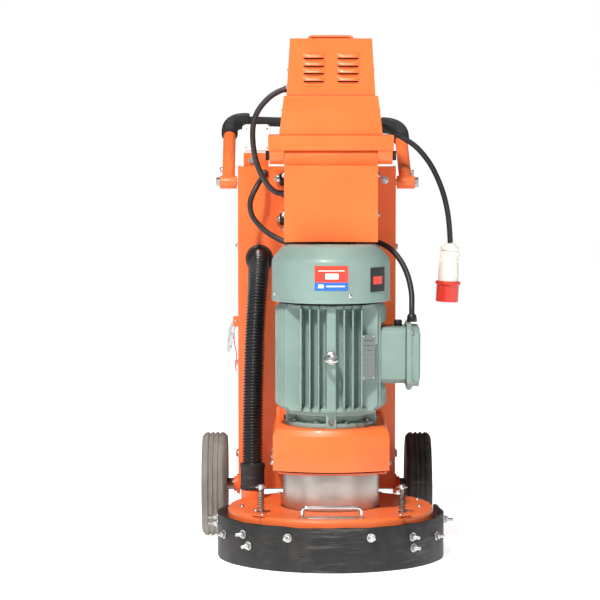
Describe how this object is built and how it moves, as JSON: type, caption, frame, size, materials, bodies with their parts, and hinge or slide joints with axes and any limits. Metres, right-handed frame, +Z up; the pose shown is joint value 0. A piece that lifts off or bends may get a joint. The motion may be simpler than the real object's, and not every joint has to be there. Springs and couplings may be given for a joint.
{
  "type": "walk-behind concrete floor grinder",
  "caption": "Walk-behind planetary concrete floor grinder with an upright electric motor, floating dust shroud, wheeled frame, folding handlebar and tilting control console.",
  "frame": {"origin": "on the floor, under the middle of the machine's footprint with the free cord and its plug left out", "axes": "+X to the right seen from the grinding head's side, +Y from the grinding head back to the handlebar, +Z up"},
  "size_m": [0.6175, 0.722, 1.2011],
  "materials": {
    "orange_paint": "powder coat, semi-gloss, worn at the edges",
    "motor_paint": "sprayed grey-green enamel on castings",
    "stainless": "rolled stainless sheet, lightly brushed",
    "zinc": "bright zinc plate",
    "steel": "machined steel, oily",
    "copper": "laminations with enamelled copper windings",
    "rubber": "matt black rubber, dusty",
    "tyre": "solid tyre, grey with concrete dust",
    "cable": "black rubber cable sheath",
    "black_plastic": "moulded, fine grain",
    "white_plastic": "moulded, satin",
    "red_plastic": "moulded, satin gloss",
    "green_plastic": "moulded, satin gloss"
  },
  "bodies": {
    "chassis": {"frame_column": "orange_paint", "handle_pivot_shaft": "zinc", "switch_box": "white_plastic", "axle": "steel", "head_cover": "orange_paint", "head_drum": "stainless", "gear_case": "steel", "float_bolt_1": "zinc", "float_bolt_2": "zinc", "float_spring_1": "zinc", "float_spring_2": "zinc", "motor_flange": "motor_paint", "motor_housing": "motor_paint", "stator": "copper", "fan_cowl": "motor_paint", "lifting_eye": "zinc", "terminal_box": "motor_paint", "terminal_box_lid": "motor_paint", "front_box": "orange_paint", "drive_unit": "black_plastic", "hinge_neck": "orange_paint", "hinge_pin": "steel", "console_lead": "cable", "box_lead": "cable", "motor_lead": "cable", "vacuum_hose": "rubber", "cord_gland": "black_plastic", "power_cord": "cable", "plug_body": "white_plastic", "plug_collar": "red_plastic"},
    "left_wheel": {"left_tyre": "tyre", "left_rim": "orange_paint"},
    "right_wheel": {"right_tyre": "tyre", "right_rim": "orange_paint"},
    "handlebar": {"handlebar_tube": "orange_paint", "handlebar_grip": "rubber"},
    "shroud": {"dust_shroud": "orange_paint", "front_hatch": "orange_paint", "skirt": "rubber", "hatch_handle": "zinc", "hose_cuff": "rubber"},
    "carrier": {"planet_carrier": "steel"},
    "disc_1": {"grinding_disc_1": "steel", "planet_gear_1": "steel"},
    "disc_2": {"grinding_disc_2": "steel", "planet_gear_2": "steel"},
    "disc_3": {"grinding_disc_3": "steel", "planet_gear_3": "steel"},
    "rotor": {"rotor_shaft": "steel", "cooling_fan": "black_plastic"},
    "console": {"saddle_bracket": "orange_paint", "console_base": "orange_paint", "console_cabinet": "orange_paint", "operator_panel": "black_plastic", "guard_bar": "orange_paint"},
    "stop_head": {"emergency_stop": "red_plastic"},
    "knob": {"speed_knob": "black_plastic"},
    "start_cap": {"start_button": "green_plastic"},
    "stop_cap": {"stop_button": "red_plastic"},
    "latch": {"latch_lever": "zinc"}
  },
  "joints": [
    {"name": "left_wheel_spin", "type": "hinge", "parent": "chassis", "child": "left_wheel", "pos_m": [-0.254, 0.181, 0.125], "axis": [1, 0, 0], "continuous": true},
    {"name": "right_wheel_spin", "type": "hinge", "parent": "chassis", "child": "right_wheel", "pos_m": [0.236, 0.181, 0.125], "axis": [1, 0, 0], "continuous": true},
    {"name": "handlebar_fold", "type": "hinge", "parent": "chassis", "child": "handlebar", "pos_m": [0, 0.151, 0.855], "axis": [-1, 0, 0], "range_deg": [0, 100]},
    {"name": "console_tilt", "type": "hinge", "parent": "chassis", "child": "console", "pos_m": [0.022, -0.099, 0.924], "axis": [1, 0, 0], "range_deg": [-10, 25], "deforming": ["console_lead"]},
    {"name": "shroud_float", "type": "slide", "parent": "chassis", "child": "shroud", "axis": [0, 0, 1], "range_m": [0, 0.012], "stiffness_N_per_m": 1500, "springref_m": -0.005, "deforming": ["float_spring_1", "float_spring_2", "vacuum_hose"]},
    {"name": "carrier_spin", "type": "hinge", "parent": "chassis", "child": "carrier", "pos_m": [0.022, -0.099, 0.05], "axis": [0, 0, 1], "continuous": true},
    {"name": "disc_1_spin", "type": "hinge", "parent": "carrier", "child": "disc_1", "pos_m": [0.022, 0.018, 0.02], "axis": [0, 0, 1], "continuous": true},
    {"name": "disc_2_spin", "type": "hinge", "parent": "carrier", "child": "disc_2", "pos_m": [-0.07933, -0.1575, 0.02], "axis": [0, 0, 1], "continuous": true},
    {"name": "disc_3_spin", "type": "hinge", "parent": "carrier", "child": "disc_3", "pos_m": [0.12333, -0.1575, 0.02], "axis": [0, 0, 1], "continuous": true},
    {"name": "rotor_spin", "type": "hinge", "parent": "chassis", "child": "rotor", "pos_m": [0.022, -0.099, 0.4], "axis": [0, 0, 1], "continuous": true},
    {"name": "emergency_stop_press", "type": "slide", "parent": "console", "child": "stop_head", "axis": [0, -0.6192, -0.7852], "range_m": [0, 0.005], "stiffness_N_per_m": 1500},
    {"name": "speed_knob_turn", "type": "hinge", "parent": "console", "child": "knob", "pos_m": [-0.03, -0.001, 1.151], "axis": [0, 0.6192, 0.7852], "range_deg": [-135, 135]},
    {"name": "start_press", "type": "slide", "parent": "console", "child": "start_cap", "axis": [0, -0.6192, -0.7852], "range_m": [0, 0.003], "stiffness_N_per_m": 1200},
    {"name": "stop_press", "type": "slide", "parent": "console", "child": "stop_cap", "axis": [0, -0.6192, -0.7852], "range_m": [0, 0.003], "stiffness_N_per_m": 1200},
    {"name": "latch_swing", "type": "hinge", "parent": "chassis", "child": "latch", "pos_m": [-0.204, 0.145, 0.524], "axis": [0, 1, 0], "range_deg": [0, 140]}
  ],
  "couplings": [
    {"joint": "disc_1_spin", "follows": "carrier_spin", "ratio": -3.0526},
    {"joint": "disc_2_spin", "follows": "carrier_spin", "ratio": -3.0526},
    {"joint": "disc_3_spin", "follows": "carrier_spin", "ratio": -3.0526},
    {"joint": "rotor_spin", "follows": "carrier_spin", "ratio": 3.9}
  ]
}
